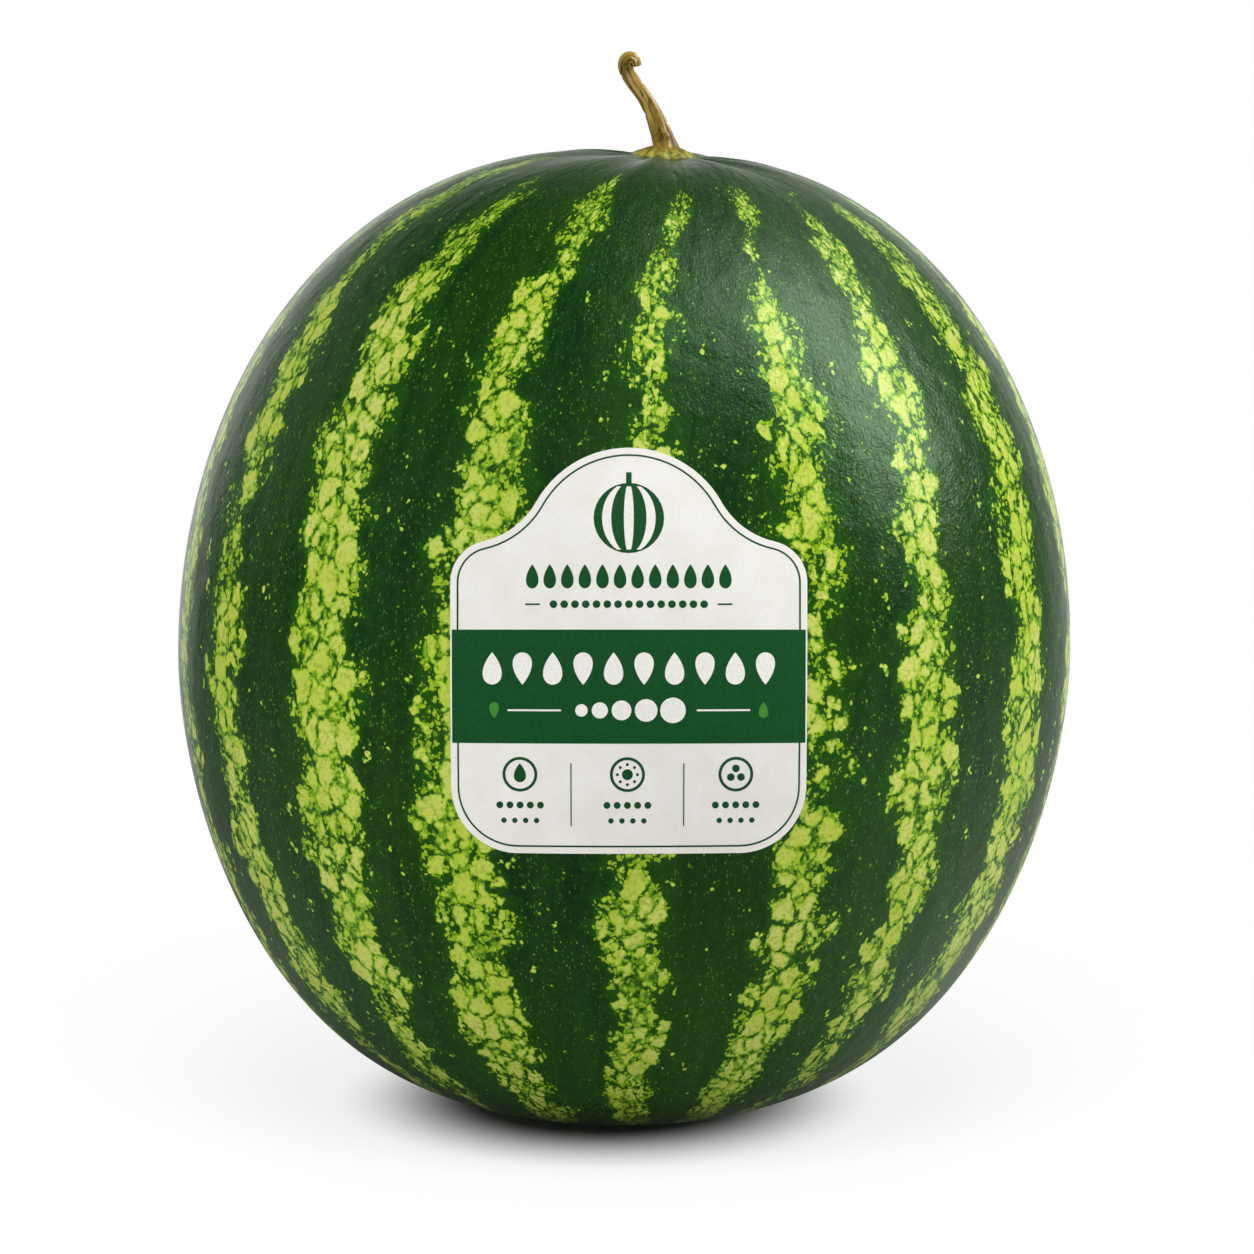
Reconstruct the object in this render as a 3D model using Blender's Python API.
"""A large striped watermelon standing on the flat spot of its blossom end, with
its dried stalk and a die-cut paper label.

Metres, +Z up. The origin is the middle of the ground the melon stands on, and
the label faces -Y.
"""

import math

import bmesh
import bpy
import numpy as np
from mathutils import Matrix, Vector

# Fruit: two half ovals that meet at the widest ring. Each one's fullness is its
# exponents across and along the fruit, where 2 and 2 would be an ellipse.
BODY_RADIUS = 0.135
UPPER_HEIGHT = 0.1516
UPPER_FULLNESS = (2.34, 2.0)
LOWER_HEIGHT = 0.1407
LOWER_FULLNESS = (2.8, 1.8)
FLAT_CUT = 0.0006
EQUATOR_Z = LOWER_HEIGHT - FLAT_CUT
LEAN = 0.0084
BODY_SIDES = 48
BODY_RINGS = 34

# The stalk grows a little off the fruit's axis, in a shallow dimple.
STALK_SHIFT = 0.0110
SHIFT_POWER = 4
DIMPLE_DEPTH = 0.0028
DIMPLE_RADIUS = 0.026

# Every pair of neighbours keeps this gap.
GAP = 0.0003

# Stalk: its foot is a pad of (radius, rise over the rind), and each station over
# it is (x, y, height) from the middle of the foot, with the stalk's radius there.
PAD = [(0.0094, 0.0000), (0.0092, 0.0009), (0.0078, 0.0021), (0.0056, 0.0031)]
STALK = [
    ((-0.0002, 0.0000, 0.0046), 0.0042),
    ((-0.0006, 0.0000, 0.0066), 0.0034),
    ((-0.0016, 0.0000, 0.0096), 0.0028),
    ((-0.0026, 0.0000, 0.0124), 0.0024),
    ((-0.0041, 0.0000, 0.0160), 0.0023),
    ((-0.0061, 0.0000, 0.0196), 0.0023),
    ((-0.0084, 0.0000, 0.0232), 0.0021),
    ((-0.0100, 0.0000, 0.0262), 0.0021),
    ((-0.0107, -0.0004, 0.0288), 0.0021),
    ((-0.0102, -0.0010, 0.0308), 0.0019),
    ((-0.0088, -0.0016, 0.0314), 0.0016),
    ((-0.0078, -0.0020, 0.0304), 0.0013),
    ((-0.0074, -0.0022, 0.0288), 0.0010),
]
STALK_SIDES = 12

# Label: sides, round corners below, and shoulders that sweep up into an arch.
# It is drawn flat, square to a line that rises at its tilt, and laid on the rind.
LABEL_CENTRE_X = 0.0014
LABEL_CENTRE_Z = EQUATOR_Z + 0.0205
LABEL_TILT = math.radians(9.0)
LABEL_HALF_WIDTH = 0.0489
LABEL_TOP = 0.0555
LABEL_BOTTOM = -0.0558
ARCH_RADIUS = 0.0290
OGEE_RADIUS = 0.0220
SHOULDER_RADIUS = 0.0115
SHOULDER_Z = 0.0187
CORNER_RADIUS = 0.0184
LABEL_THICKNESS = 0.0004
LABEL_RINGS = 7
LABEL_STEP = 0.007
ARC_STEP = math.radians(12.0)

PROFILE_SAMPLES = 400
HALVINGS = 40
SHARP_ANGLE = math.radians(35.0)
MERGE_DISTANCE = 1e-6

RIND_COLOUR = (0.013, 0.068, 0.009)
STALK_COLOUR = (0.270, 0.180, 0.060)
PAPER_COLOUR = (0.760, 0.740, 0.690)


def clear_scene():
    for item in list(bpy.data.objects):
        bpy.data.objects.remove(item, do_unlink=True)


def make_material(name, colour, roughness):
    material = bpy.data.materials.new(name)
    material.use_nodes = True
    shader = material.node_tree.nodes["Principled BSDF"]
    shader.inputs["Base Color"].default_value = (*colour, 1.0)
    shader.inputs["Roughness"].default_value = roughness
    shader.inputs["Metallic"].default_value = 0.0
    return material


def make_object(name, bm, material):
    bmesh.ops.recalc_face_normals(bm, faces=bm.faces)
    mesh = bpy.data.meshes.new(name)
    bm.to_mesh(mesh)
    bm.free()
    mesh.shade_smooth()
    mesh.set_sharp_from_angle(angle=SHARP_ANGLE)
    mesh.materials.append(material)
    made = bpy.data.objects.new(name, mesh)
    bpy.context.scene.collection.objects.link(made)
    return made


# The rind's surface

def half_oval(radius, height, fullness):
    """Height of a half oval over its widest ring, at a distance from its axis."""
    across, along = fullness
    share = np.clip(1.0 - (np.abs(radius) / BODY_RADIUS) ** across, 0.0, 1.0)
    return height * share ** (1.0 / along)


def upper_height(radius):
    return EQUATOR_Z + half_oval(radius, UPPER_HEIGHT, UPPER_FULLNESS)


def lower_height(radius):
    height = EQUATOR_Z - half_oval(radius, LOWER_HEIGHT, LOWER_FULLNESS)
    return np.maximum(height, 0.0)


def profile():
    """The rind's outline from the flat spot to the crown, evenly spaced along it."""
    turn = np.linspace(0.0, math.pi / 2.0, PROFILE_SAMPLES)
    radius = BODY_RADIUS * np.sin(turn)
    radii = np.concatenate([radius, radius[-2::-1]])
    heights = np.concatenate([lower_height(radius), upper_height(radius[-2::-1])])
    travel = np.concatenate([[0.0], np.cumsum(np.hypot(np.diff(radii), np.diff(heights)))])
    flat_edge = radii[np.nonzero(heights > 0.0)[0][0] - 1]
    stations = np.linspace(flat_edge, travel[-1], BODY_RINGS)
    stations = np.concatenate([[0.0, flat_edge / 2.0], stations])
    return np.interp(stations, travel, radii), np.interp(stations, travel, heights)


def dimple(x, y):
    """Depth of the hollow round the stalk."""
    away = (x - STALK_SHIFT) ** 2 + y ** 2
    return DIMPLE_DEPTH * np.exp(-away / DIMPLE_RADIUS ** 2)


def leaned(x, height):
    return x + LEAN * (height - EQUATOR_Z)


def drawn_to_stalk(x, y, height):
    """Slides a point of the upper half along the rind, so that its pole is the stalk."""
    if height <= EQUATOR_Z:
        return leaned(x, height), y, height
    rise = (height - EQUATOR_Z) / UPPER_HEIGHT
    x = x + STALK_SHIFT * rise ** SHIFT_POWER
    height = float(upper_height(math.hypot(x, y)) - dimple(x, y))
    return leaned(x, height), y, height


def rind_top(x, y):
    """Height of the rind near the crown, under a point of the leaned fruit."""
    height = EQUATOR_Z + UPPER_HEIGHT
    for _ in range(3):
        upright_x = x - LEAN * (height - EQUATOR_Z)
        height = float(upper_height(math.hypot(upright_x, y)) - dimple(upright_x, y))
    return height


# Pieces

def make_melon():
    bm = bmesh.new()
    radii, heights = profile()
    line = [bm.verts.new((r, 0.0, z)) for r, z in zip(radii, heights)]
    edges = [bm.edges.new(pair) for pair in zip(line, line[1:])]
    bmesh.ops.spin(bm, geom=line + edges, axis=(0, 0, 1), cent=(0, 0, 0),
                   steps=BODY_SIDES, angle=math.tau)
    bmesh.ops.remove_doubles(bm, verts=bm.verts, dist=MERGE_DISTANCE)
    for vert in bm.verts:
        vert.co = drawn_to_stalk(*vert.co)
    return make_object("melon", bm, make_material("rind", RIND_COLOUR, 0.38))


def ring(bm, centre, tangent, radius):
    """A closed loop of the stalk, square to its run."""
    turn = Vector((0, 0, 1)).rotation_difference(tangent).to_matrix().to_4x4()
    made = bmesh.ops.create_circle(bm, segments=STALK_SIDES, radius=radius,
                                   matrix=Matrix.Translation(centre) @ turn)
    return made["verts"]


def bridge(bm, lower, upper):
    """A band of quads between two loops of the stalk."""
    for side in range(STALK_SIDES):
        after = (side + 1) % STALK_SIDES
        bm.faces.new((lower[side], lower[after], upper[after], upper[side]))


def pad_loop(bm, foot_x, radius, rise):
    """A loop of the pad, at the same rise over the rind all round."""
    loop = ring(bm, Vector((foot_x, 0.0, 0.0)), Vector((0, 0, 1)), radius)
    for vert in loop:
        vert.co.z = rind_top(vert.co.x, vert.co.y) + GAP + rise
    return loop


def make_stem():
    """The pad follows the dimple, and the stalk rises from it and hooks over."""
    foot_x = leaned(STALK_SHIFT, EQUATOR_Z + UPPER_HEIGHT)
    foot = Vector((foot_x, 0.0, rind_top(foot_x, 0.0) + GAP))
    bm = bmesh.new()
    under = pad_loop(bm, foot_x, PAD[0][0] / 2.0, 0.0)
    loops = [under] + [pad_loop(bm, foot_x, radius, rise) for radius, rise in PAD]
    centres = [foot + Vector(offset) for offset, _ in STALK]
    for index, (centre, (_, radius)) in enumerate(zip(centres, STALK)):
        before = centres[max(index - 1, 0)]
        after = centres[min(index + 1, len(centres) - 1)]
        loops.append(ring(bm, centre, (after - before).normalized(), radius))
    for lower, upper in zip(loops, loops[1:]):
        bridge(bm, lower, upper)
    bm.faces.new(loops[-1])
    middle = bm.verts.new(foot)
    for side in range(STALK_SIDES):
        bm.faces.new((under[(side + 1) % STALK_SIDES], under[side], middle))
    return make_object("stem", bm, make_material("dried_stalk", STALK_COLOUR, 0.45))


def arc(centre, radius, start, end):
    """Points along an arc, in degrees, both ends included."""
    start, end = math.radians(start), math.radians(end)
    steps = max(2, math.ceil(abs(end - start) / ARC_STEP))
    angles = [start + (end - start) * step / steps for step in range(steps + 1)]
    return [(centre[0] + radius * math.cos(a), centre[1] + radius * math.sin(a)) for a in angles]


def straight(start, end):
    """Points along a straight run, without its last one."""
    steps = math.ceil(math.dist(start, end) / LABEL_STEP)
    return [tuple(Vector(start).lerp(Vector(end), step / steps)) for step in range(steps)]


def label_outline():
    """The right half from the foot to the top of the arch, then the left half."""
    arch = Vector((0.0, LABEL_TOP - ARCH_RADIUS))
    shoulder = Vector((LABEL_HALF_WIDTH - SHOULDER_RADIUS, SHOULDER_Z))
    apart = (shoulder - arch).length
    to_arch = ARCH_RADIUS + OGEE_RADIUS
    to_shoulder = SHOULDER_RADIUS + OGEE_RADIUS
    along = (to_arch ** 2 - to_shoulder ** 2 + apart ** 2) / (2.0 * apart)
    above = math.sqrt(to_arch ** 2 - along ** 2)
    line = (shoulder - arch).normalized()
    ogee = arch + line * along + Vector((-line.y, line.x)) * above
    meet_arch = math.degrees(math.atan2(ogee.y - arch.y, ogee.x - arch.x))
    meet_shoulder = math.degrees(math.atan2(ogee.y - shoulder.y, ogee.x - shoulder.x))
    corner = (LABEL_HALF_WIDTH - CORNER_RADIUS, LABEL_BOTTOM + CORNER_RADIUS)
    right = straight((0.0, LABEL_BOTTOM), (corner[0], LABEL_BOTTOM))
    right += arc(corner, CORNER_RADIUS, -90.0, 0.0)
    right += straight((LABEL_HALF_WIDTH, corner[1]), (LABEL_HALF_WIDTH, SHOULDER_Z))[1:]
    right += arc(shoulder, SHOULDER_RADIUS, 0.0, meet_shoulder)
    right += arc(ogee, OGEE_RADIUS, meet_shoulder - 180.0, meet_arch - 180.0)[1:]
    right += arc(arch, ARCH_RADIUS, meet_arch, 90.0)[1:]
    return right + [(-x, z) for x, z in right[-2:0:-1]]


def laid_on_rind(across, up, lift):
    """The point of the rind that lies straight behind a point of the flat label."""
    outward = Vector((0.0, -math.cos(LABEL_TILT), math.sin(LABEL_TILT)))
    upward = Vector((0.0, math.sin(LABEL_TILT), math.cos(LABEL_TILT)))
    start = Vector((LABEL_CENTRE_X + across, -BODY_RADIUS, LABEL_CENTRE_Z)) + upward * up
    inside, outside = -BODY_RADIUS / 2.0, BODY_RADIUS / 2.0
    for _ in range(HALVINGS):
        reach = (inside + outside) / 2.0
        if within_rind(start + outward * reach, lift):
            inside = reach
        else:
            outside = reach
    return start + outward * inside


def within_rind(point, lift):
    """Whether a point is inside the fruit with its rind raised by lift."""
    rise = point.z - EQUATOR_Z
    if rise >= 0.0:
        height, (across, along) = UPPER_HEIGHT, UPPER_FULLNESS
    else:
        height, (across, along) = LOWER_HEIGHT, LOWER_FULLNESS
    away = math.hypot(point.x - LEAN * rise, point.y)
    return (away / (BODY_RADIUS + lift)) ** across + (abs(rise) / (height + lift)) ** along < 1.0


def make_label():
    """A sheet of quads in shrinking copies of the outline, thickened outwards."""
    bm = bmesh.new()
    outline = label_outline()
    loops = []
    for number in range(LABEL_RINGS, 0, -1):
        share = number / LABEL_RINGS
        loops.append([bm.verts.new(laid_on_rind(x * share, z * share, GAP)) for x, z in outline])
    middle = bm.verts.new(laid_on_rind(0.0, 0.0, GAP))
    count = len(outline)
    for outer, inner in zip(loops, loops[1:]):
        for side in range(count):
            following = (side + 1) % count
            bm.faces.new((outer[side], outer[following], inner[following], inner[side]))
    for side in range(count):
        bm.faces.new((loops[-1][side], loops[-1][(side + 1) % count], middle))
    label = make_object("label", bm, make_material("label_paper", PAPER_COLOUR, 0.55))
    wall = label.modifiers.new("thickness", "SOLIDIFY")
    wall.thickness = LABEL_THICKNESS
    wall.offset = 1.0
    return label


def main():
    clear_scene()
    make_melon()
    make_stem()
    make_label()


main()
